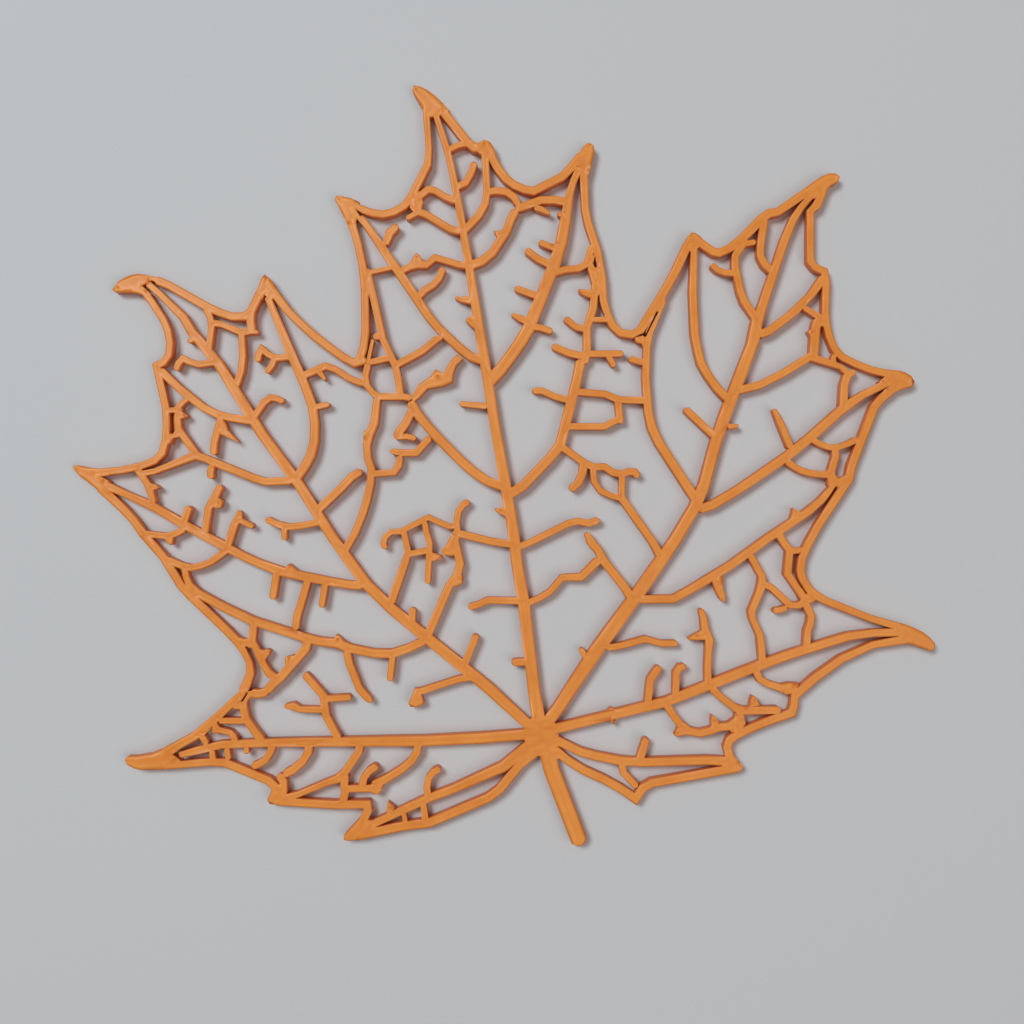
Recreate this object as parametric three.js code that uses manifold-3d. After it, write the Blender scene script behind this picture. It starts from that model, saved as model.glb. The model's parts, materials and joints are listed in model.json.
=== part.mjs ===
// Openwork maple leaf ornament, printed flat in one piece.
// Millimetres. The origin is the hub where the veins meet the stem, on the back face;
// +Y runs up the midrib, +X to the leaf's right, +Z out of the front face.
import * as THREE from "three";
import { mergeVertices } from "three/addons/utils/BufferGeometryUtils.js";
import Module from "manifold-3d";

const wasm = await Module();
wasm.setup();

const THICKNESS = 1.6; // eight printed layers

// Widths of the ribs, most often two or three printed tracks.
const MAIN = 1.4; // the main veins
const VEIN = 1.2; // the side veins
const MARGIN = 1.15; // the rib round the edge of the leaf
const TWIG = 0.95; // the short twigs between the veins
const FINE = 0.8; // the thinnest links
const CAP = 0.3; // how far the corners of a rib's blunt end are cut back, as part of its width
const SMALLEST_STEP = 0.03; // a corner that stands out by less than this is dropped from the joined outline

// ---- shaping helpers ----

// The outline of one rib: a centre line of [x, y] points, or [x, y, width] where the width changes.
function rib(width, ...line) {
  const points = line.map(([x, y]) => new THREE.Vector2(x, y));
  const widths = line.map((point) => point[2] ?? width);
  const along = (i) => points[i + 1].clone().sub(points[i]).normalize();
  const left = [];
  const right = [];
  points.forEach((point, i) => {
    const before = i > 0 ? along(i - 1) : along(i);
    const after = i < points.length - 1 ? along(i) : before;
    const mid = before.clone().add(after).normalize();
    const side = new THREE.Vector2(-mid.y, mid.x);
    const reach = widths[i] / 2 / Math.max(mid.dot(after), 0.6);
    const isEnd = i === 0 || i === points.length - 1;
    if (!isEnd) {
      left.push(point.clone().addScaledVector(side, reach));
      right.push(point.clone().addScaledVector(side, -reach));
      return;
    }
    const cut = CAP * widths[i];
    const inward = after.clone().multiplyScalar(i === 0 ? cut : -cut);
    const shoulder = point.clone().add(inward);
    const pairs = [
      [shoulder, reach],
      [point, reach - cut],
    ];
    if (i === 0) pairs.reverse();
    for (const [base, half] of pairs) {
      left.push(base.clone().addScaledVector(side, half));
      right.push(base.clone().addScaledVector(side, -half));
    }
  });
  return [...right, ...left.reverse()];
}

// A filled area, such as the tip of a lobe, from its corners.
function patch(...corners) {
  return corners.map(([x, y]) => new THREE.Vector2(x, y));
}

// An outline as a solid of the leaf's thickness, taller by `extra` both ways when it is to be cut away.
function solid(outline, extra = 0) {
  const depth = THICKNESS + 2 * extra;
  const shape = new THREE.Shape(outline);
  const geometry = new THREE.ExtrudeGeometry(shape, { depth, bevelEnabled: false });
  geometry.translate(0, 0, -extra);
  geometry.deleteAttribute("normal");
  geometry.deleteAttribute("uv");
  const merged = mergeVertices(geometry, 1e-4);
  const mesh = new wasm.Mesh({
    numProp: 3,
    vertProperties: merged.attributes.position.array,
    triVerts: new Uint32Array(merged.index.array),
  });
  return new wasm.Manifold(mesh);
}

// ---- hub, stem and main veins ----

function hubAndMainVeins() {
  return [
    patch([-2.4, 1], [-2.4, -0.4], [-1.7, -1.9], [-1, -2.8], [1.9, -3.8], [2.1, -1.8], [2.4, -0.5],
      [2.3, 1.2], [1.1, 2.3], [-1, 2.5]),
    // stem
    rib(2.25, [0.35, -1.5], [0.6, -5], [2.8, -16.1]),
    // midrib, up to the top tip
    rib(MAIN, [0, 0, 1.9], [0.1, 6, 1.75], [0.8, 18, 1.65], [0.85, 24, 1.6], [1.15, 30, 1.6],
      [1.15, 44, 1.4], [1.35, 56, 1.4], [1.5, 70, 1.1], [1.5, 77, 0.95], [1.3, 82, 0.9],
      [0.45, 88.2, 0.8]),
    // left upper main vein
    rib(MAIN, [-1, 1], [-6, 7.6, 1.6], [-17.5, 20.9, 1.5], [-20.4, 25, 1.5], [-23.8, 32], [-27.2, 40.3],
      [-31, 48], [-35.2, 58.5], [-38.1, 63.6, 1.3], [-38.9, 65.8, 1.2], [-41.6, 69.6, 0.95],
      [-43, 71.3, 0.9]),
    // right upper main vein
    rib(1.6, [1, 1.4], [3, 3.2, 1.7], [10, 10.6, 1.9], [16.3, 16.6, 1.8], [23, 23.3, 1.7],
      [26.5, 27.4, 1.6], [28.4, 30.3], [31.2, 36.2], [33.2, 39.8], [38.4, 48.4], [39.5, 51.2],
      [40.6, 53.2, 1.3], [45.4, 62, 1.2], [47, 64.5, 1.1], [48.4, 66, 0.9], [50, 67.2, 0.8]),
    // left lower main vein
    rib(MAIN, [-1, 0.3], [-8, 0.95, 1.5], [-16, 1.95, 1.45], [-38, 5.55, 1.1], [-44, 6.35, 1.05],
      [-50, 6, 1]),
    // right lower main vein
    rib(1.35, [1, 0.4], [18, 1.5], [31, 4.1], [36, 4.95], [44.5, 6.05, 1.2], [48, 5.9, 1.1],
      [52, 5.3, 1.1]),
    // left basal veins, side by side
    rib(MAIN, [-1, -0.6], [-6, -3.5, 1.5], [-13, -5.25, 1.2], [-17, -6, 1.15], [-26, -8.4, 1]),
    rib(1.25, [-1, -2.2], [-3.5, -3.5], [-7, -6.5], [-8.8, -7.4], [-17.5, -9.4], [-21, -9.2],
      [-28, -9.4]),
    // right basal veins, side by side
    rib(VEIN, [1, -0.4], [5, -3.3], [7, -4.25], [10.3, -5.5], [13, -6.2], [22, -7.5], [25, -8.2]),
    rib(VEIN, [1.4, -2.2], [3, -4.1], [5, -5.9], [7.5, -7.6], [9.5, -9.2], [11.4, -11.1], [12.6, -9.8],
      [14, -9.3], [26, -9.3]),
  ];
}

// ---- top lobe ----

function topLobe() {
  return [
    // tip, and the two side tips
    patch([-1.1, 87.2], [1.2, 87.2], [2.6, 87.5], [1.8, 88.8], [1, 89.9], [0, 91], [-1, 91.7],
      [-1.7, 91.95], [-2.05, 91.4], [-1.8, 90.5], [-1.4, 89.5], [-1.1, 88.6]),
    patch([-15.3, 78.2], [-15, 77.2], [-14.4, 75.4], [-14.1, 74], [-12.9, 74.2], [-12.7, 76.2],
      [-12, 77.3], [-13, 78], [-14.2, 78.5], [-15, 78.7]),
    patch([6, 80.6], [7.8, 80.6], [7.7, 81.6], [7.3, 82.4], [6.6, 82.8], [6, 82.6], [5.4, 82.4],
      [5.2, 81.5]),
    patch([18.4, 77.9], [19, 76.4], [18.9, 75.4], [20, 75.3], [20.7, 76.9], [21.3, 78.4], [21.45, 79.3],
      [21.1, 79.8], [20.6, 79.9], [20, 79.5]),
    // margin from the left notch to the left side tip
    rib(1.1, [-16, 55.4], [-15, 57.2], [-14.3, 59.5], [-13.4, 65], [-13.1, 68.5], [-13.2, 71.5],
      [-13.6, 75]),
    // from the left side tip to the top tip
    rib(1.05, [-14, 77.7], [-12.3, 76.5], [-10.5, 75.5], [-9, 75.05], [-7.5, 75.15], [-6, 75.7],
      [-4.8, 76.8], [-1.75, 80.8], [-1.2, 82.9, 0.9], [-0.7, 88, 0.9]),
    // from the top tip over the small right tip to the right side tip
    rib(VEIN, [1, 88.8], [4.2, 83], [5, 82], [6, 81.9]),
    rib(MARGIN, [7, 82], [7.3, 80], [7.8, 78.5], [8.6, 77], [9.6, 75.9], [10.8, 75.1], [12.1, 74.6],
      [16.3, 75.85], [17.8, 76.9], [19.6, 78.5]),
    // from the right side tip down to the right notch
    rib(1.1, [20.2, 78.2], [19.4, 75.8], [18.75, 71], [18.8, 69], [19.4, 65], [19.4, 61], [19.05, 58],
      [19.2, 56], [19.7, 54.3], [20.6, 53.1], [22.1, 52.6], [23.3, 53]),
    // inner rib along the left margin, with the ladder of small cells below it
    rib(1, [-12.6, 68], [-12.1, 58], [-11.05, 54], [-10.95, 52], [-11.1, 49.8]),
    rib(0.9, [-13.4, 58.5], [-12, 58.5]),
    rib(0.5, [-13.5, 58.2], [-14.8, 55]),
    rib(0.85, [-14.6, 55.1], [-11.3, 55.3]),
    rib(0.9, [-14.7, 55], [-15.4, 53.4], [-15.4, 52], [-14.8, 50.9], [-13.9, 50.1]),
    rib(0.6, [-12.8, 67.4], [-9, 67.6]),
    // left side vein and its twigs
    rib(VEIN, [1, 52.6], [-0.5, 53.5], [-1.8, 54.9], [-4.3, 58.3], [-5.3, 60], [-9.6, 69.6],
      [-11.7, 74.2, 1], [-13.2, 77, 1]),
    rib(TWIG, [-9.5, 70.8], [-8.6, 72.4, 1.2], [-7.3, 73.2, 1]),
    rib(TWIG, [-10.9, 54.1], [-7, 55.4], [-4.9, 56.6], [-3.9, 56.9, 0.7]),
    rib(TWIG, [-6.2, 62.9], [-5.2, 63.7], [-3.9, 64.2], [-2.9, 65], [-2.1, 66.3]),
    rib(0.9, [-8, 66.9], [-6.8, 67.2], [-5.6, 67.6, 1.4], [-4.4, 67.1], [-3, 67.9], [0.2, 66.3],
      [1.2, 66]),
    patch([-6.6, 67.6], [-4.7, 67.6], [-5, 68.6], [-5.5, 69], [-6, 68.5]),
    patch([-9.5, 48.6], [-8.3, 49.2], [-7.2, 50.1], [-5, 50.1], [-3.6, 50.4], [-3.3, 51.5],
      [-2.7, 52.6], [-1.6, 53.4], [-2.3, 54.1], [-3.2, 53.5], [-4, 52.6], [-4.6, 51.8], [-5.1, 52.2],
      [-5.6, 52.6], [-6.5, 51.7], [-7.4, 51.3], [-8.3, 50.9], [-9.7, 49.3]),
    // ribs from the midrib into the tip
    rib(TWIG, [1.2, 75.1], [-0.2, 76], [-1.4, 77.1], [-2.3, 77.4], [-3.4, 76.8], [-4.2, 76.9]),
    rib(1, [1.2, 70.8], [-0.3, 71.5], [-3.1, 74], [-4.2, 74.6], [-4.9, 75.4, 0.7], [-4.6, 76.6, 0.7]),
    rib(0.7, [-4.2, 74.5], [-6, 73.9]),
    rib(1.1, [-4.4, 74.6], [-3.8, 75.8], [-4, 77]),
    rib(FINE, [1.5, 82.3], [2.9, 82.75], [4.2, 82.7]),
    rib(TWIG, [1.6, 77], [3, 77.4], [3.9, 78.5], [4.8, 80]),
    rib(1, [1.4, 70.7], [4, 72.6], [5.15, 74], [5.7, 75.7], [6.4, 81.4]),
    patch([1, 60.6], [0.4, 60.8], [-0.4, 61.1], [-1.25, 61.7], [-1.2, 62.1], [-0.4, 61.9], [1, 61.8]),
    patch([1, 57], [0.3, 57.5], [-0.3, 58.4], [-0.1, 58.9], [0.8, 59]),
    // small right tip: cross rib and the loop below it
    rib(1, [5.8, 75.6], [7, 75.6], [8.4, 75.2], [9.3, 74.3], [9.7, 73.1]),
    rib(VEIN, [1.4, 65.9], [3.4, 66.3], [5, 67.2], [7.5, 69.9], [8.3, 71.3], [9.3, 72.5]),
    patch([5.6, 67.8], [6.6, 68.3], [7, 70], [6.4, 70], [5.7, 70.1], [6, 69.2]),
    rib(1.1, [9.2, 72.6], [12.8, 73.2], [14.6, 72.95], [16.6, 72.3]),
    rib(FINE, [11.8, 72.4], [12.8, 71.9], [13.8, 71.1, 0.5]),
    // right side vein and its twigs
    rib(1.7, [1.2, 49.4], [3.2, 50.9], [5, 52.6], [6.8, 54.4], [8.2, 56.1], [13.5, 64.6],
      [14.7, 67, 1.7], [15.6, 69.4, 1.6], [17, 73.4, 1.1], [17.8, 75, 1], [19, 76.8, 0.9]),
    rib(0.6, [15.9, 70.6], [14.8, 70.9]),
    rib(0.85, [14, 66.1], [11.6, 67.5]),
    rib(1, [12.9, 64], [11, 65.3], [9.6, 66.8]),
    rib(0.9, [10.4, 60], [7.2, 61.8]),
    rib(TWIG, [8.3, 56.9], [7.2, 57.5], [6.1, 58.3, 0.5]),
    rib(0.9, [8.6, 56.1], [9.9, 55.7], [11.3, 54.9]),
    rib(TWIG, [12.6, 62.9], [14.6, 63.1], [16.4, 62.95], [17.6, 63.4], [18.9, 65.8]),
    // inner rib along the right margin
    rib(1.1, [18.5, 64.5], [18.2, 62.5], [18.4, 60.5], [17.5, 57.3], [16.1, 54.6], [15.6, 51.6],
      [14.9, 49.8]),
    rib(0.7, [18.4, 62.2], [19.4, 62.2]),
    rib(0.7, [18.4, 61.8], [18.5, 59.2], [19.3, 59.2]),
    rib(0.7, [16.7, 55.7], [19.3, 55.2]),
    patch([18, 59.6], [16.9, 59.85], [15.9, 60.1], [15.9, 59.6], [16.5, 59.1], [17.2, 58.6]),
    rib(0.9, [15.9, 54.5], [14.6, 55], [13.3, 56.5]),
    rib(1, [15, 50.8], [13, 51.6], [10.9, 53]),
    rib(0.9, [15.2, 51.1], [20.5, 50.2]),
    rib(FINE, [18.3, 50.4], [18.95, 48.6]),
  ];
}

// ---- left upper lobe, with its right side tooth and its left side tooth ----

function leftUpperLobe() {
  return [
    patch([-48, 71.3], [-47.6, 70.85], [-46.5, 70.65], [-45.5, 70.5], [-44.6, 70.2], [-43.9, 69.7],
      [-42.6, 69.6], [-43.4, 70.6], [-43.8, 71.1], [-42.3, 71.6], [-41.3, 70.8], [-40.6, 71.4],
      [-42, 72.1], [-43, 72.5], [-44, 72.8], [-45, 72.8], [-46, 72.6], [-47, 72.2]),
    patch([-28.8, 66.6], [-27.6, 66.3], [-27.3, 66.9], [-26.3, 66.1], [-25.3, 66.3], [-25.6, 67.7],
      [-26.1, 68.9], [-26.7, 69.7], [-27.2, 69.3], [-27.9, 68.1]),
    patch([-57.6, 48.1], [-57.5, 47.5], [-56.8, 46.4], [-56, 45.6], [-54.6, 44], [-53.4, 44.3],
      [-53, 45.2], [-54.1, 46], [-52.6, 45.9], [-52.6, 46.8], [-54, 47.1], [-55.5, 47.5], [-57, 48.1]),
    // margin: from the notch beside the top lobe up the right tooth
    rib(MARGIN, [-14.9, 55.6], [-16.6, 55.4], [-18, 56.5], [-19.6, 58.1], [-21.5, 60.2], [-23.3, 62.5],
      [-24.6, 64.4], [-26.2, 67.6]),
    rib(MARGIN, [-27.6, 67.6], [-29.5, 64.9], [-29.8, 63.6], [-29.8, 62.2]),
    rib(MARGIN, [-29.2, 65], [-30.6, 64.45], [-32.2, 64.7], [-33.7, 65.5], [-35.3, 66.6], [-40.2, 70.6],
      [-41.8, 71.6]),
    // down the left edge to the notch of the left tooth
    rib(1, [-43.6, 70], [-42.9, 68.8], [-41.7, 66], [-41.35, 64.4], [-41.35, 62.6], [-41.8, 61],
      [-42.7, 60.1], [-43.75, 59.8], [-43.5, 53.8], [-43.8, 51.5], [-44.3, 49.4], [-45.1, 47.7],
      [-46.3, 46.85], [-48, 46.5], [-51, 46.35], [-54.5, 46.6]),
    // down the lower left edge
    rib(MARGIN, [-54.6, 44.7], [-51.8, 41.1], [-50.6, 39.2], [-49.7, 37.2], [-47.4, 33.4], [-45.7, 29.1],
      [-44.7, 27.5], [-40.4, 21.7], [-39.3, 20], [-38.7, 18.7, 1], [-38.2, 17, 0.9], [-38.3, 15.5],
      [-39.2, 13.9, 1.3], [-40, 13, 1.2]),
    // right tooth: middle vein and twigs
    rib(1.25, [-27.3, 41], [-25.9, 42.4], [-24.8, 43.8, 1.3], [-24, 45.6], [-23.5, 48], [-23.4, 50.5],
      [-23.9, 53.5], [-25.1, 58.5], [-26.9, 66.6, 0.9]),
    rib(FINE, [-23.8, 50.3], [-21, 50.4]),
    rib(TWIG, [-24, 54.9], [-20.6, 55.7], [-19.3, 55], [-17.9, 53.6], [-16.5, 52.7], [-15.2, 52.3]),
    rib(FINE, [-21.7, 55.2], [-21, 53.8, 0.5]),
    rib(0.9, [-25.2, 57.8], [-27.2, 58], [-28.2, 58.7], [-28.9, 59.6], [-29.5, 58.9], [-29.8, 57.9]),
    rib(FINE, [-27.4, 58], [-27.9, 57.1], [-28.9, 56.2]),
    // middle: ladder left of the tooth
    rib(TWIG, [-33.4, 55], [-32.3, 57], [-31.7, 59], [-31.3, 62.6]),
    rib(0.9, [-35.2, 64.4], [-33.8, 63.9], [-31.3, 62.3], [-30, 62.3], [-29, 61.9, 0.5]),
    rib(0.9, [-35.6, 66.6], [-35.2, 65], [-35.3, 63.6], [-36.3, 60.4]),
    rib(0.9, [-31.9, 50.2], [-29.9, 52.2], [-28.9, 52.7], [-28, 52.4], [-27.2, 51.8]),
    // left side rib with its hook
    rib(0.9, [-35.5, 58.9], [-38, 58.95], [-39.2, 59.6], [-39.95, 60.2], [-40.7, 59.6], [-41.2, 58.7]),
    rib(0.6, [-37.9, 62.5], [-38.9, 62.35]),
    // rib along the left tooth's neck
    rib(1.1, [-43.4, 59.2], [-41.3, 56.3], [-38.4, 53], [-36.8, 51.8], [-35, 50.95], [-31.8, 49.9]),
    rib(0.75, [-43.6, 53.45], [-42.2, 53.3], [-41, 54.2], [-40.2, 54.6]),
    rib(1, [-41.6, 53.7], [-42.2, 52], [-42.3, 50.6], [-40.3, 46.4]),
    patch([-44.6, 50.4], [-44.8, 48.9], [-43.6, 48.7], [-43.2, 49.5], [-42.2, 49.5], [-41.6, 48.6],
      [-41.6, 50.2], [-42.3, 51], [-43.1, 50.1], [-43.6, 50.2]),
    patch([-41.9, 53.2], [-41.2, 52.8], [-40.6, 52.2], [-41.2, 51.9], [-42, 52]),
    rib(TWIG, [-36.1, 51.4], [-37.7, 47.9], [-38.1, 46.2]),
    patch([-36, 50.8], [-37, 49], [-36.2, 48.6], [-35.3, 48], [-34.3, 47.3], [-34.7, 48.1],
      [-35.5, 49.3], [-35.6, 50.4]),
    // left side rib low down, joining the tooth's cells
    rib(1.1, [-28, 40.8], [-31.6, 41.3], [-33.2, 42.1], [-39.4, 46], [-40.6, 46.6], [-46.5, 45.4, 0.8],
      [-48.5, 45.4, 0.8]),
    rib(0.9, [-38.5, 45], [-38.9, 44], [-39, 43]),
    rib(TWIG, [-49, 46.4], [-47.9, 44], [-47.6, 42.6], [-47.5, 41]),
    patch([-48, 44.1], [-47.3, 43.9], [-46.6, 43.5], [-46.2, 43], [-46.8, 42.9], [-47.6, 42.8]),
    // middle vein of the left tooth
    rib(VEIN, [-54, 45, 1.1], [-51, 42.9, 1], [-47.5, 40.5], [-43.7, 37.3], [-36.6, 31.7],
      [-34.4, 30.2], [-31, 28.3, 1.3], [-24.5, 25.8], [-22.5, 25.1], [-20.8, 24.7]),
    rib(1, [-43.9, 37.6], [-42.6, 39.8]),
    rib(1, [-41.2, 35.6], [-40.1, 39], [-37.8, 41.9]),
    patch([-39.6, 39.3], [-39.1, 38.8], [-38.3, 38.9], [-37.9, 39.8], [-38.6, 40.4]),
    rib(0.9, [-49.4, 37.1], [-46.4, 36.2], [-45, 36.4], [-43.8, 36.8]),
    patch([-47, 36.2], [-46.7, 35.6], [-46.2, 34.9], [-45.8, 35.1], [-45.6, 35.9]),
    rib(TWIG, [-47.1, 33.1], [-45.1, 31.8], [-43.9, 31.3], [-42.4, 31.35], [-41, 31.65], [-38.5, 32.9]),
    rib(0.9, [-44.8, 31.6], [-44.8, 30.2], [-44.5, 29], [-43.6, 27.7, 1.1], [-40.5, 25.2, 1.2],
      [-36.8, 22.6, 1.2], [-30, 19, 1.2], [-28, 18.1, 1.2], [-25.6, 17.4, 1.3], [-24, 16.4, 1.2],
      [-21, 15.2, 1.2], [-18.5, 14.7, 1.2], [-16, 15.05, 1.2], [-13.6, 15.7, 1.2]),
    rib(1, [-38.4, 33.4], [-37, 36], [-36.1, 37.2], [-35.9, 38, 0.6]),
    rib(FINE, [-36.3, 36.8], [-34.4, 35.4]),
    // twigs on the main vein's left
    rib(TWIG, [-25.2, 34.45], [-28, 34.4], [-29.7, 34.6], [-31.2, 35.3], [-32.5, 36.2]),
    rib(FINE, [-30.2, 34.5], [-30.45, 32.8]),
    patch([-31.3, 28.7], [-30.7, 29.3], [-30.3, 29.5], [-29.8, 28.9], [-29.3, 28.2], [-30.5, 28]),
    rib(1, [-32.3, 28.6], [-33.5, 25]),
    rib(1.05, [-28.2, 26.8], [-30.6, 22], [-31.1, 20.3]),
    rib(0.9, [-25.9, 26], [-27, 22.7]),
    // twigs on the main vein's right
    rib(1.1, [-25.4, 36], [-21.4, 38.6], [-19.7, 39.9], [-18.2, 40.5]),
    rib(1.05, [-22.7, 29.7], [-20.7, 32], [-19.3, 34.2], [-18.2, 36.3], [-17.3, 38.5], [-16.8, 40.5],
      [-17.05, 42], [-16.9, 43.7], [-16.3, 45.2, 1.2], [-15.3, 46.7, 1.15], [-14.3, 50.1]),
    patch([-17.4, 44], [-16, 44.5], [-15.5, 46], [-16.9, 45.9]),
    rib(0.9, [-16.8, 39.8], [-13.8, 39.45], [-13, 40.4, 1.1], [-12.5, 41.6]),
    rib(1, [-13.8, 42.5, 0.7], [-12, 41.9], [-10.3, 41.6], [-8, 43.4]),
    // left side vein low on the midrib, to the ladder beside the left notch
    rib(1.35, [1, 34.8], [-1.2, 36], [-2.8, 37.5], [-4.4, 39.5], [-7.2, 43.5], [-8.4, 45.5],
      [-9.3, 47.2], [-9.9, 48.8]),
    rib(TWIG, [-14.4, 50.3], [-10.6, 49.6], [-9.6, 49.2]),
    rib(MARGIN, [-9.8, 47.6], [-11, 45.9], [-12.1, 44.9], [-12.9, 44.2, 0.8]),
    rib(FINE, [-12.9, 44.3], [-11.2, 44.1], [-10, 43.6]),
    rib(0.85, [0.6, 46.3], [-3.2, 47.3, 0.7]),
  ];
}

// ---- lower half of the leaf, between the left upper vein and the midrib ----

function leftInnerTwigs() {
  return [
    // branch from the main vein
    rib(MARGIN, [-13.2, 16.2], [-9, 22.6], [-7.7, 23.8], [-6.95, 25.3], [-7.1, 28.6], [-6.6, 30]),
    patch([-8.6, 22.5], [-8, 22.3], [-7.2, 22.5], [-6.8, 23.4], [-7.2, 24.2], [-8.4, 23.2]),
    rib(0.9, [-6.6, 29.6], [-6.4, 31.3], [-5.9, 32.6], [-5.1, 33.4], [-4.2, 33.7]),
    rib(1.05, [0.6, 26.8], [-2, 27.6], [-6.5, 29.6]),
    rib(FINE, [-6.8, 30.6], [-7.7, 30.8], [-10.2, 32.5], [-14.4, 31.2], [-15.6, 31.4], [-16.5, 30.9],
      [-17, 30], [-16.8, 29.2]),
    rib(0.85, [-13.9, 31.4], [-13.8, 28.2], [-14.4, 27, 1.1], [-17.4, 21.6, 1.2]),
    rib(0.85, [-10.8, 32], [-10.8, 30.4], [-10.6, 29], [-11.9, 23.4]),
    rib(0.85, [-14, 27.9], [-11, 28]),
    patch([-11.3, 28], [-10.3, 27.5], [-9.3, 27], [-9.3, 26.5], [-10.6, 26.3], [-11.3, 26.8]),
    rib(1, [-7, 29.3], [-8, 28], [-9.1, 27.1]),
    patch([-9.2, 27.2], [-9, 26.85], [-7.4, 26.6], [-7.2, 28.4], [-8.2, 28.1]),
    rib(1, [-15, 18.4], [-14.5, 20.5]),
    rib(1, [-8.9, 11.3], [-6.4, 15.3]),
    rib(0.9, [-7.7, 9.5], [-10, 9.6], [-15.8, 8.8]),
    patch([-15.5, 9.3], [-16.2, 9.4], [-16.7, 8.5], [-17.4, 7.5], [-17.2, 7], [-16.3, 6.8],
      [-15.2, 7.1], [-15.4, 8.3]),
    // left twigs of the midrib
    patch([0.6, 32], [-1, 32.1], [-0.8, 31.6], [0, 31], [0.6, 30.6]),
    rib(TWIG, [0.5, 18.8], [-4.1, 19.7], [-5.5, 19.3], [-6.9, 19.2]),
    rib(1, [0, 10.3], [-2.3, 10.6]),
  ];
}

// ---- left lower lobe and left basal lobe ----

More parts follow.
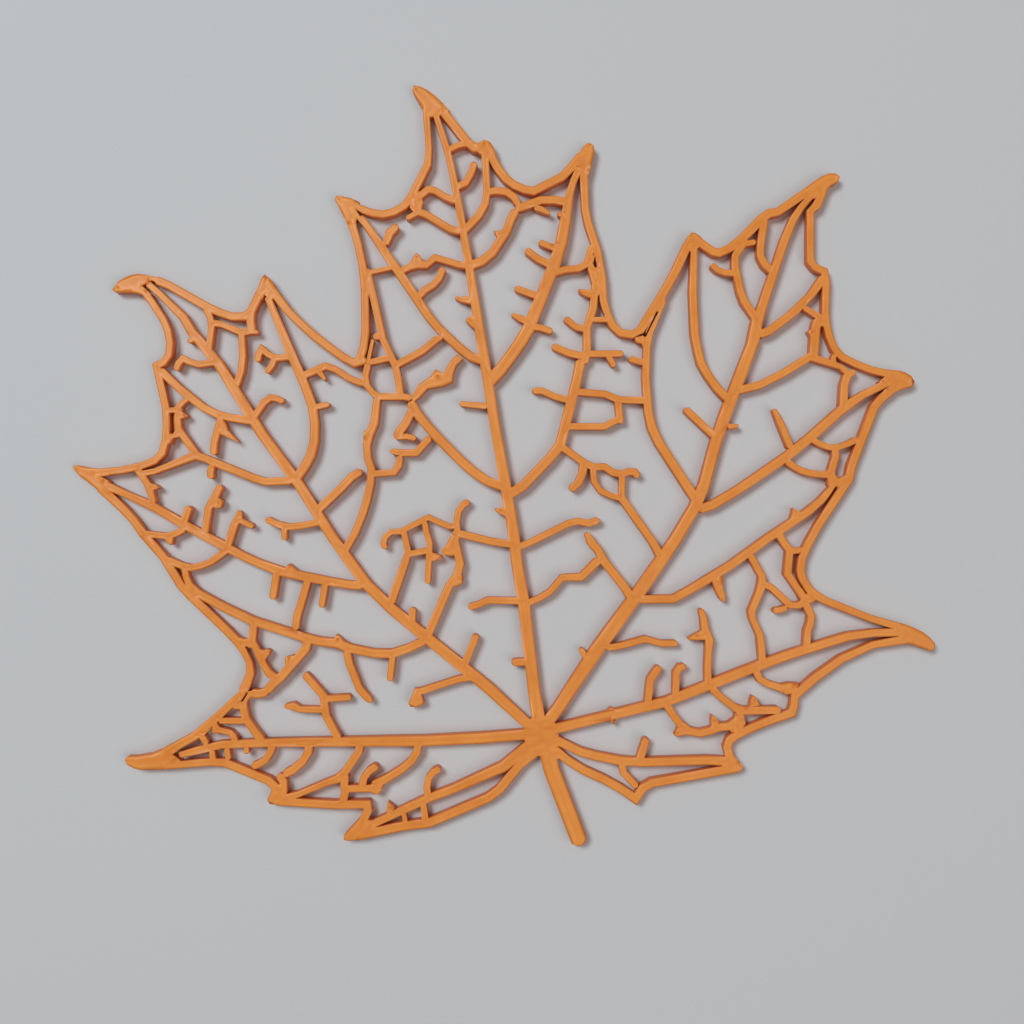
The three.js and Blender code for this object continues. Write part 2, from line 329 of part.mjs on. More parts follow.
function leftLowerLobe() {
  return [
    patch([-57.6, 6.6], [-57.4, 5.9], [-56.5, 5.2], [-55.5, 4.85], [-54, 4.6], [-51.6, 4.3], [-50, 5.2],
      [-51, 6.2], [-50, 6.6], [-50.6, 7.6], [-52.4, 7.1], [-54, 6.8], [-56, 6.8], [-57.2, 7]),
    // margin
    rib(1, [-39.6, 13.1], [-43.7, 10.4, 1.1], [-47.6, 8.1, 1.2], [-52.5, 6.5, 1.2]),
    rib(MARGIN, [-53, 5], [-46, 4.25, 1.05], [-44, 3.8, 1.1], [-38.4, 0.3], [-37.6, -0.8], [-38, -2.2]),
    patch([-38.3, -1.2], [-37.8, -0.2], [-36.8, -0.6], [-36.3, -1.9], [-35, -2.4], [-35.2, -3.5],
      [-37, -3.5], [-38, -3.2], [-38.8, -2.9], [-39, -2.3]),
    rib(MARGIN, [-38, -2.7], [-30, -4.6], [-25.5, -5.3], [-25.5, -6.2], [-26.6, -7.6], [-28.9, -9.4]),
    patch([-25.2, -7.6], [-27, -7.2], [-29.4, -9], [-29.55, -9.6], [-29, -9.9], [-26, -9.9],
      [-24.6, -8.7]),
    // ladder above the main vein
    rib(0.9, [-41.6, 11.4], [-40.2, 11.2], [-39.6, 12.2], [-38.6, 12.8]),
    rib(VEIN, [-38.8, 12.7], [-37.5, 12.4], [-36.3, 12.5]),
    rib(0.85, [-43.8, 9.7], [-40.2, 9]),
    rib(1.1, [-40, 12.1], [-40.1, 10.4], [-40, 9.2], [-38.9, 6.9], [-38.2, 5.8]),
    rib(0.9, [-45.4, 9.2], [-46.4, 7.9], [-46, 6.7]),
    rib(FINE, [-45.3, 8.6], [-43.9, 8.4], [-42.5, 7.8], [-41.9, 6.9]),
    rib(FINE, [-44.6, 9.6], [-44, 8.2]),
    rib(FINE, [-42.4, 7.6], [-41.9, 6.4]),
    // ladder below the main vein
    rib(FINE, [-45.45, 5.8], [-45.5, 4.4]),
    rib(FINE, [-43.35, 5.8], [-43.4, 4.1]),
    rib(FINE, [-40.65, 5.4], [-40.8, 4.5]),
    rib(1, [-37, 5.2], [-37.4, 4.3], [-38.3, 3.2], [-39.3, 2.8], [-40.4, 2.6]),
    // loops between the main vein and the margin
    rib(MARGIN, [-32, 4.4], [-32.3, 3.2], [-33.4, 2], [-34.8, 1.2], [-36.2, 0.7]),
    rib(1.1, [-36.9, 0.9], [-36.4, -0.2], [-36.7, -2]),
    rib(1.1, [-24.9, 3.3], [-25.4, 2], [-27.8, -0.4], [-29, -1.2], [-30.6, -1.4, 0.9],
      [-34.6, -2.3, 0.8], [-36.2, -2.4, 0.9]),
    rib(1.1, [-27.7, -0.6], [-28.15, -2], [-28.2, -3.2], [-28.8, -4.4]),
    rib(TWIG, [-28, -2.7], [-24.8, -3.2], [-23.8, -3.5]),
    patch([-24.7, -3.5], [-24.3, -4.1], [-23.7, -4.2], [-23.3, -3.9], [-22.7, -3.1], [-24, -2.9]),
    rib(1.05, [-25.8, -2.8], [-25.3, -1.6], [-24.4, -0.8], [-23.1, -0.3]),
    rib(1.1, [-17, 1.8], [-17.4, 0.6], [-18.4, -0.5], [-20, -1.4], [-22, -2.2], [-24.4, -2.9]),
    // basal lobe: short posts between the two veins, and the twigs above them
    patch([-23, -7.2], [-22.9, -6.3], [-22.6, -5.5], [-22.2, -5.9], [-21.7, -6.6]),
    rib(0.65, [-20.7, -7], [-20.7, -8.8]),
    rib(0.9, [-17.8, -6.2], [-17.9, -9]),
    rib(TWIG, [-17, -6], [-16.9, -4.4], [-16.4, -3.2], [-15.6, -2.5], [-14.6, -2.2]),
    // loops left of the lower long rib
    rib(1.25, [-29.7, 18.6], [-30.2, 17.4], [-34.3, 14.1], [-35.5, 13.4], [-36.6, 12.5]),
    patch([-33.2, 16.8], [-32, 16.9], [-31.6, 16], [-33.4, 15.4]),
    rib(1, [-36.6, 22.4], [-37.3, 19.8], [-36.3, 16.2], [-35.8, 15], [-34.8, 14]),
    patch([-36.8, 18.7], [-36, 18.3], [-35.4, 18.35], [-35, 18.1], [-35.4, 17.4], [-36, 16.9]),
    patch([-39.6, 20.3], [-39.2, 19.6], [-38.5, 19.1], [-37.5, 18.9], [-36.9, 19.6], [-36.9, 21],
      [-37.4, 20.35], [-38.3, 20.25], [-39.1, 20.7]),
    // standing twig on the main vein
    rib(1.05, [-27.8, 4.2], [-29, 7.8], [-28.85, 10.6], [-31, 14.1]),
    rib(0.9, [-28.8, 10.15], [-25.1, 9.7]),
    rib(0.85, [-29, 8.6], [-32.4, 9.3], [-33.2, 9.9, 1.1], [-34.5, 10.1, 0.6]),
    // twigs hanging from the long rib
    rib(1.05, [-24.6, 16.4], [-24.55, 14.4], [-23.8, 10.7], [-23, 9.4], [-22.4, 8.6, 0.8]),
    rib(0.9, [-18.4, 14.5], [-19.4, 11]),
    patch([-26.2, 17.9], [-25.6, 18.7], [-25, 18.1], [-24.5, 17.3]),
  ];
}

// ---- right upper lobe with its two teeth ----

function rightUpperLobe() {
  return [
    patch([54.4, 69.2], [53.9, 69.7], [53, 69.9], [52, 69.7], [51, 69.3], [49.4, 68.5], [48.6, 67],
      [50.6, 66.8], [49.7, 65.9], [50.2, 65], [51, 65.4], [51.7, 66.5], [52.3, 67.6], [53, 68.2],
      [54, 68.5]),
    patch([59.65, 39.3], [59.3, 40.2], [58.6, 40.8], [58, 41.1], [56, 41.7], [55.6, 40.6], [54.8, 40.2],
      [55.2, 39.4], [56.1, 39.3], [55.2, 38.9], [55.6, 37.8], [56.5, 38.3], [57.5, 38.5], [59.2, 38.7]),
    patch([32.7, 65.1], [32, 64.6], [31.2, 63.4], [32.2, 62.5], [33.2, 62.8], [34.2, 63.8],
      [33.8, 64.4], [33.2, 65]),
    // margin: from the right notch of the top lobe to the left tooth and on to the tip
    rib(VEIN, [23, 52.6], [28, 58.2, 1.3], [29.6, 60.2, 1.3], [32.2, 64]),
    rib(MARGIN, [33, 64.2], [35.2, 62], [36, 61.65], [37.4, 62], [39.4, 63, 1.3], [42.6, 65.3, 1.3],
      [43.8, 65.9, 1.2], [45, 65.85], [50.2, 68.2, 1.2]),
    // down the right edge
    rib(1, [50.6, 66], [49.5, 65.1], [48.3, 58.4], [48.8, 57.4], [50, 56.6], [50, 55.2], [49.2, 51.4],
      [49, 49.4], [49.1, 47.6], [49.5, 45.8], [50.4, 44.4], [52, 43.2], [54, 42], [56.4, 41]),
    rib(VEIN, [56.6, 38.8], [55, 38], [53.6, 36.9], [49, 29.2], [48.4, 27.6], [43, 21.9, 1.1],
      [41.3, 19.8, 1.1], [40, 17.9, 1.15], [39.5, 16.2, 1.15], [39.6, 14.8, 1.15], [40.4, 13.1, 1.2],
      [42, 11.6, 1.1], [48, 7.95, 1], [52, 6, 1]),
    // left tooth: middle vein
    rib(MARGIN, [33.7, 41.4], [32.5, 43.2], [31.6, 45.1], [30.9, 47], [30.75, 49], [30.75, 51.2, 1.2],
      [31.5, 57], [32.8, 63.4, 0.9]),
    // second vein and its hook
    rib(1.05, [39.6, 51.6], [38.3, 54.4], [38, 56], [37.9, 59.6], [38.2, 60.9], [40, 63, 1.2]),
    rib(0.85, [37.8, 58.5], [36.4, 58.8], [35.4, 59.4], [34.7, 60.3]),
    rib(FINE, [39.4, 62.3], [41.3, 62.3]),
    // third vein, between them
    rib(1.05, [42.9, 57.8], [42, 59], [41.6, 60.3], [41.9, 61.8], [43.1, 65.3]),
    // right side vein and the small cells on the right edge
    rib(VEIN, [39.4, 49.5], [41, 49.8], [44.4, 51.5], [47.6, 53.7, 1.1], [49.8, 55.9]),
    rib(FINE, [46.3, 52.2], [49.2, 49.6]),
    rib(1.3, [48, 50.3], [47.5, 49.2], [46.5, 45.2]),
    patch([47.6, 50.3], [47.2, 49.05], [46.2, 48.85], [46.5, 48], [47.6, 48]),
    rib(1, [48.1, 50.4], [48.8, 49.1]),
    rib(1.1, [35.2, 42.4], [38.4, 42.6], [42, 43.7], [46, 45.3], [50, 43.1, 0.7], [50.6, 42.3, 0.9]),
    patch([48.7, 44.5], [49.1, 45.1], [50, 45.2], [49.4, 44.4], [49.4, 43.9], [48.9, 43.9]),
    rib(1.1, [51.8, 42.2, 0.9], [50.7, 41.9], [50, 40.6], [49.2, 37.4]),
    // middle vein of the right tooth
    rib(1.3, [27, 27], [29, 27.3], [33, 28.8], [40.4, 32.2], [44.4, 34.4], [48.6, 37], [50.6, 38],
      [52.4, 38.8, 1.1], [56, 39.8, 1]),
    rib(TWIG, [41.1, 33.2], [40.4, 36.6], [39.75, 39, 0.6]),
    rib(TWIG, [40.2, 31.6], [41.1, 30.6], [42, 29.9], [43.2, 29.3], [45.6, 28.6]),
    rib(0.85, [44.2, 33.9], [45.3, 33], [46.4, 32.4], [47.6, 32.2], [49, 32.4], [50.6, 32.9]),
    rib(1, [47.2, 32.3], [47.1, 31], [46, 28.8], [45.9, 27.6]),
    patch([45.3, 29.3], [45.4, 28], [45.3, 27.3], [45.9, 26.3], [47, 26.9], [48.6, 27.4], [48, 28.2],
      [46.8, 27.9], [46.6, 28.6], [46.6, 29.4]),
    rib(FINE, [33, 37.7], [34.5, 37.5, 0.5]),
    rib(1, [31, 36.6], [27.6, 41.2]),
    // long rib below the tooth
    rib(MARGIN, [16.5, 16.2], [21.4, 15.4], [23.6, 16.1], [30, 18.6], [36, 21.5], [42, 24.1],
      [44, 25.3, 1], [46, 26.9, 0.9]),
    patch([39.4, 23.6], [39.8, 24.4], [40, 25], [40.4, 24.6], [41, 24.2]),
    patch([27.1, 17], [27.3, 15.6], [27.7, 14.3], [28.1, 13.8], [28.6, 14.2], [28.5, 15.6],
      [28.7, 17.4]),
    // loops between the long rib and the margin
    rib(1.05, [37.4, 21.8], [37.9, 20.4], [38.5, 19.3], [37.65, 16.1], [38.9, 13.4], [39.3, 12.1]),
    rib(0.9, [38.4, 19.2], [40.4, 18.9]),
    patch([38.6, 12.8], [39.8, 12.9], [40.8, 13.6], [41.2, 12.4], [40.6, 11.5], [39.7, 11.6],
      [38.8, 12]),
    rib(1, [33, 19.6], [34.1, 16.4], [33.9, 15.2, 1.2], [33.2, 14], [31.8, 11.8], [31.75, 10.9, 0.9],
      [32.4, 8.3, 0.95], [32.1, 4.6, 0.95]),
    rib(TWIG, [34, 15.4], [35.1, 14.6], [37.3, 11.7], [38.4, 11.5], [39.6, 11.9]),
    rib(0.85, [36.8, 11.5], [35.9, 11.3], [34.8, 11.35]),
    rib(1, [39.3, 11.8], [39.9, 9.8], [39.6, 8.8], [39, 7.7], [38.4, 5.2]),
  ];
}

// ---- twigs right of the midrib and the right side veins ----

function rightInnerTwigs() {
  return [
    // side vein from the midrib up to the right notch
    rib(MAIN, [1.2, 33.6], [3.4, 34.4], [7.8, 37.6], [9.6, 39.2], [13.6, 48], [14.5, 50.4]),
    rib(0.9, [12.2, 45], [10, 46], [8.4, 47.1], [7.1, 47.3]),
    rib(TWIG, [12.8, 46.2], [17, 45.1], [18.8, 44], [22.6, 43.2]),
    rib(TWIG, [11, 41.6], [16.1, 40.65], [18.4, 41.4]),
    rib(1, [18.6, 44.1], [18.4, 40.7]),
    // the margin's inner neighbour on the right, down to the main vein
    rib(1.05, [27.4, 57], [24.6, 52.5], [23.9, 50.6], [23, 46.5, 1.1], [22.5, 41.6, 1.2],
      [22.6, 39.4, 1.3], [23.2, 37.2, 1.3], [26.4, 29.6, 1.3], [27, 28]),
    patch([22.4, 52.1], [22.4, 51.5], [23.2, 51.1], [23.4, 50.4], [24.2, 51.6], [23.6, 52.2]),
    rib(0.85, [23.2, 48.4], [21.1, 49.4]),
    // branching twig under the side vein
    rib(1, [9.8, 38.9], [12.5, 36.2], [13.6, 35.4], [15.2, 35.15], [16.1, 34.2], [17.3, 33.75],
      [18.4, 33.9], [19.2, 33.7], [19.6, 32.9]),
    rib(MARGIN, [12.4, 36.2], [12, 34.8], [11.2, 33.6], [9.9, 32.8]),
    rib(0.85, [13.5, 35.2], [13.4, 33.4], [14, 32], [15.4, 31], [16.6, 30.5]),
    rib(0.9, [17.4, 33.8], [16.8, 30.6]),
    rib(1.1, [16.6, 30.8], [20, 23.6], [20.6, 21.6]),
    // twigs from the midrib
    rib(TWIG, [1, 26.2], [3, 26.55], [9, 28.3], [10.4, 28.3], [11.6, 27.8], [13.2, 28]),
    patch([10.4, 27.8], [11.4, 27.3], [13.1, 27.5], [13.1, 28.3], [11.6, 28.3]),
    rib(0.9, [1, 18.3], [3, 18.7], [4.6, 19.3], [6.7, 21], [9.3, 20.6, 1.1], [12.2, 22.6, 1.2]),
    rib(VEIN, [15.6, 16.6], [15, 18.2], [12.7, 22.5], [12.3, 23.9], [11.5, 25.2], [11.1, 26.6, 0.8]),
    // twigs of the right main vein
    rib(0.85, [8, 9.4], [7.5, 10.9, 0.7]),
    rib(0.9, [11, 10.3], [13, 10.25], [16.6, 10.6], [18.6, 9.6], [20.9, 9.2]),
    // free-standing twig on the lower main vein
    rib(TWIG, [24.1, 2.8], [24.4, 5], [24.9, 7.2], [25.35, 8.8, 1.2], [25, 10.6, 1.05], [25.1, 12.2],
      [24.9, 13.4, 0.7]),
    patch([24.8, 10.5], [23.6, 10.1], [22.4, 9.7], [22.6, 9.35], [24.9, 9]),
    rib(1.05, [15.3, 1.6], [16.3, 4.9], [17.9, 6.5]),
    rib(TWIG, [19.3, 1.8], [20, 5.2], [20.6, 5.85], [21.5, 5.9]),
    patch([9.8, 0.3], [10.1, -0.4], [10.6, 0.2]),
    patch([9.6, 1.7], [10.2, 2.05], [10.8, 1.7]),
  ];
}

// ---- right lower lobe and right basal lobe ----

function rightLowerLobe() {
  return [
    patch([56, 2.4], [56.1, 3], [55.6, 3.9], [54.8, 4.8], [53.6, 5.7], [52.4, 6.4], [51, 6.3],
      [50.7, 6.1], [51.3, 4.8], [51.5, 3.8], [53, 3.4], [54, 2.8], [55, 2.2], [55.6, 2]),
    // margin
    rib(MARGIN, [52.6, 4.2], [47.6, 4.3, 1], [43, 3.1], [39, 1.2], [35.7, -0.8], [35.4, -2], [34.9, -3.1],
      [31, -3.7], [28.6, -4.25], [26.9, -4.75], [25.7, -5.3], [25.2, -6.2], [25.3, -7.4], [25.8, -9]),
    patch([24.5, -7.5], [26, -7.5], [26.6, -8.7], [26.9, -9.3], [26.6, -9.75], [25.8, -9.9],
      [24.6, -9.8], [24, -8.6]),
    // loops between the main vein and the margin
    rib(1.1, [17.9, 1.2], [18.5, -0.4], [19.3, -1.9], [20.4, -3.1], [21.8, -3.65], [23.2, -3.6],
      [24.6, -3.3], [26, -3.4], [27.3, -2.8], [27.8, -1.6]),
    patch([19.2, -2.2], [18.8, -2.4], [18.2, -3.3], [18.6, -3.6], [19.4, -3.5], [20.4, -3.5]),
    patch([23.5, -3.2], [23.6, -2.3], [23.85, -1.4], [24.3, -1.8], [24.8, -2.6]),
    rib(1.05, [24.4, 2.4], [25.2, 1.2], [27.2, -1], [28.4, -1.6], [33.4, -2.4]),
    patch([26.2, -3.2], [27.4, -2], [28.3, -2.2], [28.3, -3.5], [27.1, -4.4], [26, -4.2]),
    patch([29.2, -1.2], [29.5, -0.4], [29.9, 0.25], [30.4, -0.1], [30.7, -1.3]),
    rib(1, [30.9, 3.8], [31.3, 2.3], [32.3, 1.5], [34.6, 0.3]),
    patch([33.7, 1.1], [35.3, 1.15], [36.6, 0.85], [36.2, 0.2], [35.3, -0.4], [34.7, -0.5],
      [33.6, 0.2]),
    // basal lobe: twig and post
    rib(1.05, [12.8, -6], [14.4, -3]),
    rib(1, [10.3, -5.8], [10.4, -7.2], [11.9, -9.5]),
  ];
}

// ---- narrow slits left in the filled tips and between ribs that were printed against each other ----

function slits() {
  return [
    patch([-13.05, 64.2], [-13.35, 61], [-13.65, 59], [-12.9, 59.1], [-12.75, 61.5]),
    patch([-12.7, 76.5], [-12.3, 75.4], [-11.6, 75.4]),
    patch([-12.95, 74.9], [-12.8, 73], [-12.2, 73.4]),
    patch([-38.4, 19.2], [-37.85, 17.4], [-37.6, 16], [-37.1, 15.6], [-37.15, 16.6], [-37.5, 17.9],
      [-38.1, 19.2]),
    patch([-39.2, 13], [-40.4, 11.75], [-40, 11.75], [-39.1, 12.8]),
    patch([-42.75, 53], [-43.3, 50.4], [-43, 50.3], [-42.5, 52.9]),
    patch([39.95, 18.75], [38.95, 17.6], [38.4, 15.7], [39.1, 13.9], [39.85, 12.95], [39.2, 14.5],
      [38.75, 15.9], [39.3, 17.7]),
    patch([26.3, 55.1], [24, 52], [23.7, 51.9], [26, 55.1]),
    patch([46.6, 26.8], [44, 24.1], [43.1, 22.9], [44.4, 24.8], [46.3, 26.85]),
    patch([18.95, 64.3], [18.5, 63.3], [18.6, 62.7], [19, 62.7]),
    patch([18.4, 58.8], [17.85, 56.5], [18.2, 56.2], [18.9, 55.8], [18.6, 57]),
    patch([-51, 6.2], [-49.5, 6.4], [-46.8, 6.75], [-46.4, 6.95], [-47.2, 7.6], [-48, 7.3],
      [-49.4, 6.75]),
    patch([-50, 5.1], [-46, 4.8], [-45.85, 5.75], [-47.3, 5.65], [-48.3, 5.25], [-50, 5.3]),
    patch([-46.1, 8.1], [-45.5, 7.5], [-45.05, 8.1], [-44.8, 8.95]),
  ];
}

// ---- the leaf ----

const outlines = [
  ...hubAndMainVeins(),
  ...topLobe(),
  ...leftUpperLobe(),
  ...leftInnerTwigs(),
  ...leftLowerLobe(),
  ...rightUpperLobe(),
  ...rightInnerTwigs(),
  ...rightLowerLobe(),
];
const printed = wasm.Manifold.union(outlines.map((outline) => solid(outline)));
const cuts = wasm.Manifold.union(slits().map((outline) => solid(outline, 1)));
const leafSolid = printed.subtract(cuts).asOriginal().simplify(SMALLEST_STEP);

// The joined solid as a three.js geometry.
function toGeometry(shape) {
  const mesh = shape.getMesh();
  const geometry = new THREE.BufferGeometry();
  geometry.setAttribute("position", new THREE.BufferAttribute(mesh.vertProperties, 3));
  geometry.setIndex(new THREE.BufferAttribute(mesh.triVerts, 1));
  geometry.computeVertexNormals();
  return geometry;
}

const orangePlastic = new THREE.MeshStandardMaterial({ color: 0xd9822f, roughness: 0.5, metalness: 0 });

const mapleLeaf = new THREE.Mesh(toGeometry(leafSolid), orangePlastic);
mapleLeaf.name = "maple_leaf";

const ornament = new THREE.Group();
ornament.add(mapleLeaf);

export default ornament;
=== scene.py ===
import json
import math

import bmesh
import bpy
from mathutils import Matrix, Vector

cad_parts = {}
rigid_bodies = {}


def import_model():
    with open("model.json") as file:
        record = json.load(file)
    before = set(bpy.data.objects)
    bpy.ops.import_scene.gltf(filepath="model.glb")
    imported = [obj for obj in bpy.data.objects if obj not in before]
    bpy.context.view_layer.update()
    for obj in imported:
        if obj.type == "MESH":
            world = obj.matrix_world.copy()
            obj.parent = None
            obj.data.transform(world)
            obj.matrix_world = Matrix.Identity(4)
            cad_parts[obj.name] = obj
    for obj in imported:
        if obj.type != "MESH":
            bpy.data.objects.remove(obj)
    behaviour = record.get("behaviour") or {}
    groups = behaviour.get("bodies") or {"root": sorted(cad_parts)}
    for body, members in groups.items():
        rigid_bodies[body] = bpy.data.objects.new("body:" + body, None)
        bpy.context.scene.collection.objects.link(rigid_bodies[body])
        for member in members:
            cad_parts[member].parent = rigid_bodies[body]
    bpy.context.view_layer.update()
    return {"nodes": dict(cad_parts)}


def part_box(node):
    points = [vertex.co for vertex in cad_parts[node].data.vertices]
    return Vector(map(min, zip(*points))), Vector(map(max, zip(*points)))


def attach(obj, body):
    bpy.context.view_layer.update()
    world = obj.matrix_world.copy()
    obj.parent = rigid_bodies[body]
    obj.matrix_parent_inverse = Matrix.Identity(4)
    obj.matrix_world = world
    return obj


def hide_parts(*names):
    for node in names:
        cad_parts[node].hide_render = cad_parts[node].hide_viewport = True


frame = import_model()


# ---- the leaf plate ----
# The leaf is one flat plate of orange plastic, laid down in eight thin layers by a printer.
# Every rib is two tracks side by side, so it has a shallow valley down the middle, front and
# back, and its side walls show the edge of each layer.

cad_leaf = frame["nodes"]["maple_leaf"]
plate_low, plate_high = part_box("maple_leaf")
front = plate_high.z
back = plate_low.z
layer_count = 8
layer_height = (front - back) / layer_count
layer_groove = 0.00003
same_place = 0.000002
# painted shade on each track: none on the crown, some in the valley, full at the edge and in the walls
crown_painted_shade, valley_painted_shade, edge_painted_shade = 0.0, 0.74, 1.0

leaf = bpy.data.objects.new("printed_leaf", cad_leaf.data.copy())
bpy.context.scene.collection.objects.link(leaf)
bpy.ops.object.select_all(action="DESELECT")
leaf.select_set(True)
bpy.context.view_layer.objects.active = leaf
bpy.ops.object.mode_set(mode="EDIT")
bpy.ops.mesh.select_mode(type="VERT")
bpy.ops.mesh.select_all(action="SELECT")
bpy.ops.mesh.remove_doubles(threshold=same_place)
# each point's amount of painted shade, which the material turns into a darker, redder colour
bmesh.from_edit_mesh(leaf.data).verts.layers.float.new("painted_shade")


def select_in_leaf(kind, wanted):
    """Selects the leaf's vertices, edges or faces that pass the test, and nothing else."""
    bpy.ops.mesh.select_mode(type="VERT")
    bpy.ops.mesh.select_all(action="DESELECT")
    bpy.ops.mesh.select_mode(type={"verts": "VERT", "edges": "EDGE", "faces": "FACE"}[kind])
    shape = bmesh.from_edit_mesh(leaf.data)
    for item in getattr(shape, kind):
        if wanted(item):
            item.select = True
    shape.select_flush_mode()
    bmesh.update_edit_mesh(leaf.data)


def height_is(vertex, height):
    return abs(vertex.co.z - height) < same_place


def shape_tracks(side, outward, valley_depth, edge_drop):
    """Turns the flat face at height side into pairs of rounded tracks, and notes each point's painted
    shade: full at the edge, some in the valley, none on the crown.
    """

    def on_side(face):
        return face.normal.z * outward > 0.5

    def within_side(edge):
        return len(edge.link_faces) == 2 and all(on_side(face) for face in edge.link_faces)

    select_in_leaf("faces", on_side)
    bpy.ops.mesh.beautify_fill(angle_limit=math.pi)
    edge_places = {tuple(v.co) for v in bmesh.from_edit_mesh(leaf.data).verts if height_is(v, side)}

    # the valley, halfway across each rib
    select_in_leaf("edges", within_side)
    bpy.ops.mesh.subdivide(number_cuts=1)
    valley = side - outward * valley_depth
    select_in_leaf("verts", lambda v: height_is(v, side) and tuple(v.co) not in edge_places)
    bpy.ops.transform.translate(value=(0, 0, valley - side))

    # the crown of each track, halfway from the valley to the edge
    select_in_leaf(
        "edges",
        lambda e: within_side(e) and {height_is(v, side) for v in e.verts} == {True, False},
    )
    bpy.ops.mesh.subdivide(number_cuts=1)
    select_in_leaf("verts", lambda v: height_is(v, (side + valley) / 2))
    bpy.ops.transform.translate(value=(0, 0, (side - valley) / 2))
    select_in_leaf("verts", lambda v: tuple(v.co) in edge_places)
    bpy.ops.transform.translate(value=(0, 0, -outward * edge_drop))

    # note each point's painted shade
    shape = bmesh.from_edit_mesh(leaf.data)
    painted_shade = shape.verts.layers.float["painted_shade"]
    for vertex in shape.verts:
        if height_is(vertex, side):
            vertex[painted_shade] = crown_painted_shade
        elif height_is(vertex, valley):
            vertex[painted_shade] = valley_painted_shade
        elif height_is(vertex, side - outward * edge_drop):
            vertex[painted_shade] = edge_painted_shade
    bmesh.update_edit_mesh(leaf.data)


shape_tracks(front, 1, valley_depth=0.00007, edge_drop=0.00003)
shape_tracks(back, -1, valley_depth=0.00003, edge_drop=0.00002)

# lumps and pits where the nozzle started, stopped and crossed an older track
for seed, share, lift in (
    (3, 0.05, 0.00005),
    (11, 0.06, -0.00006),
):
    select_in_leaf("verts", lambda v: height_is(v, front))
    bpy.ops.mesh.select_random(ratio=1 - share, seed=seed, action="DESELECT")
    bpy.ops.transform.translate(value=(0, 0, lift))

# the layers in the side walls
for step in range(1, 2 * layer_count):
    bpy.ops.mesh.select_all(action="SELECT")
    bpy.ops.mesh.bisect(plane_co=(0, 0, back + step * layer_height / 2), plane_no=(0, 0, 1))
layer_joins = [back + layer * layer_height for layer in range(1, layer_count)]
select_in_leaf("verts", lambda v: any(height_is(v, height) for height in layer_joins))
bpy.ops.transform.shrink_fatten(value=-layer_groove)
bpy.ops.object.mode_set(mode="OBJECT")

# the slight waver of every track; the back was pressed flat on the bed
above_the_bed = leaf.vertex_groups.new(name="above_the_bed")
off_the_bed = [v.index for v in leaf.data.vertices if v.co.z > back + layer_height / 4]
above_the_bed.add(off_the_bed, 1, "REPLACE")
waver = bpy.data.textures.new("waver", "CLOUDS")
waver.noise_scale = 0.0016
waver.noise_depth = 1
uneven = leaf.modifiers.new("waver", "DISPLACE")
uneven.texture = waver
uneven.texture_coords = "LOCAL"
uneven.vertex_group = above_the_bed.name
uneven.mid_level = 0.5
uneven.strength = 0.00012
bpy.ops.object.modifier_apply(modifier=uneven.name)
bpy.ops.object.shade_smooth_by_angle(angle=math.radians(50))

plastic = bpy.data.materials.new("orange_plastic")
plastic.use_nodes = True
nodes = plastic.node_tree.nodes
links = plastic.node_tree.links
shader = nodes["Principled BSDF"]
shader.inputs["Roughness"].default_value = 0.42
shader.inputs["IOR"].default_value = 1.46
shader.inputs["Subsurface Weight"].default_value = 0.12
shader.inputs["Subsurface Radius"].default_value = (0.0012, 0.0004, 0.0001)
shader.inputs["Subsurface Scale"].default_value = 1.0
place = nodes.new("ShaderNodeTexCoord")

# slow change of colour from one stretch of a rib to the next
cloud = nodes.new("ShaderNodeTexNoise")
cloud.inputs["Scale"].default_value = 260
cloud.inputs["Detail"].default_value = 4
links.new(place.outputs["Object"], cloud.inputs["Vector"])
tint = nodes.new("ShaderNodeValToRGB")
tint.color_ramp.elements[0].position = 0.32
tint.color_ramp.elements[0].color = (0.78, 0.262, 0.032, 1)
tint.color_ramp.elements[1].position = 0.68
tint.color_ramp.elements[1].color = (0.87, 0.33, 0.058, 1)
links.new(cloud.outputs["Fac"], tint.inputs["Fac"])

# painted shade: the plastic is painted deeper and redder at its edges and in the walls, and a little
# along the valley down each rib, where shade falls
edge = nodes.new("ShaderNodeAttribute")
edge.attribute_name = "painted_shade"
falloff = nodes.new("ShaderNodeMath")
falloff.operation = "POWER"
falloff.inputs[1].default_value = 3
links.new(edge.outputs["Fac"], falloff.inputs[0])
# mixes in the painted shade colour by that amount
paint_shade_colour = nodes.new("ShaderNodeMix")
paint_shade_colour.data_type = "RGBA"
paint_shade_colour.inputs["B"].default_value = (0.76, 0.2, 0.04, 1)
links.new(falloff.outputs["Value"], paint_shade_colour.inputs["Factor"])
links.new(tint.outputs["Color"], paint_shade_colour.inputs["A"])
links.new(paint_shade_colour.outputs["Result"], shader.inputs["Base Color"])

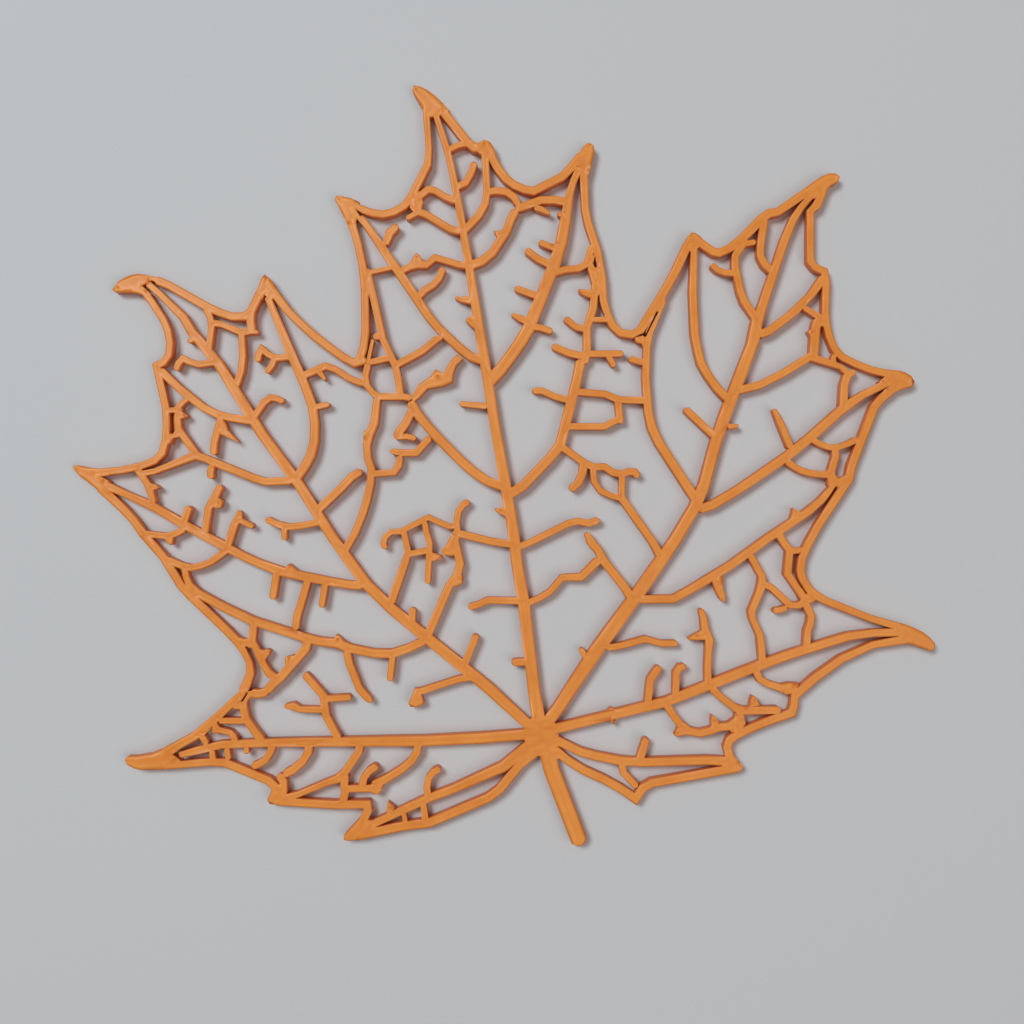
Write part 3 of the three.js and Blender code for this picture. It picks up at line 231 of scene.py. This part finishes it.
# fine unevenness left by the nozzle
grain = nodes.new("ShaderNodeTexNoise")
grain.inputs["Scale"].default_value = 2600
grain.inputs["Detail"].default_value = 3
links.new(place.outputs["Object"], grain.inputs["Vector"])
bump = nodes.new("ShaderNodeBump")
bump.inputs["Strength"].default_value = 0.35
bump.inputs["Distance"].default_value = 0.00004
links.new(grain.outputs["Fac"], bump.inputs["Height"])
links.new(bump.outputs["Normal"], shader.inputs["Normal"])

leaf.data.materials.clear()
leaf.data.materials.append(plastic)
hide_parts("maple_leaf")
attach(leaf, "root")


# ---- the ground ----
# A plain pale card that the leaf lies on. It isn't part of the leaf.

bpy.ops.mesh.primitive_plane_add(size=1.6, location=(0, 0.03, -0.00005))
card = bpy.context.object
card.name = "pale_card"
paper = bpy.data.materials.new("pale_card")
paper.use_nodes = True
paper.node_tree.nodes["Principled BSDF"].inputs["Base Color"].default_value = (0.6, 0.62, 0.64, 1)
paper.node_tree.nodes["Principled BSDF"].inputs["Roughness"].default_value = 0.9
card.data.materials.append(paper)


# ---- light and camera ----
# A wide soft window light above and to the left of the leaf, slightly cool, a warmer and
# weaker one opposite, and a pale warm room round them. The camera looks straight down.

bpy.context.scene.view_settings.view_transform = "Standard"
world = bpy.data.worlds.new("room")
bpy.context.scene.world = world
world.use_nodes = True
world.node_tree.nodes["Background"].inputs["Color"].default_value = (1, 0.9, 0.87, 1)
world.node_tree.nodes["Background"].inputs["Strength"].default_value = 0.2

leaf_middle = Vector((0.0014, 0.0312, front))
camera_height = 0.1528
for name, offset, size, power, color in (
    ("window", (-0.33, 0.39, 0.8), 0.33, 5.2, (0.9, 0.98, 1)),
    ("fill", (0.3, -0.25, 0.55), 0.5, 1.2, (1, 0.86, 0.8)),
):
    bpy.ops.object.light_add(type="AREA", location=leaf_middle + Vector(offset))
    lamp = bpy.context.object
    lamp.name = name
    lamp.data.size = size
    lamp.data.energy = power
    lamp.data.color = color
    lamp.rotation_euler = (-Vector(offset)).to_track_quat("-Z", "Y").to_euler()

bpy.ops.object.camera_add(location=leaf_middle + Vector((0, 0, camera_height)))
camera = bpy.context.object
camera.rotation_euler = (0, 0, math.radians(-10))
camera.data.lens = 38.67
camera.data.sensor_width = 36
camera.data.clip_start = 0.005
bpy.context.scene.camera = camera
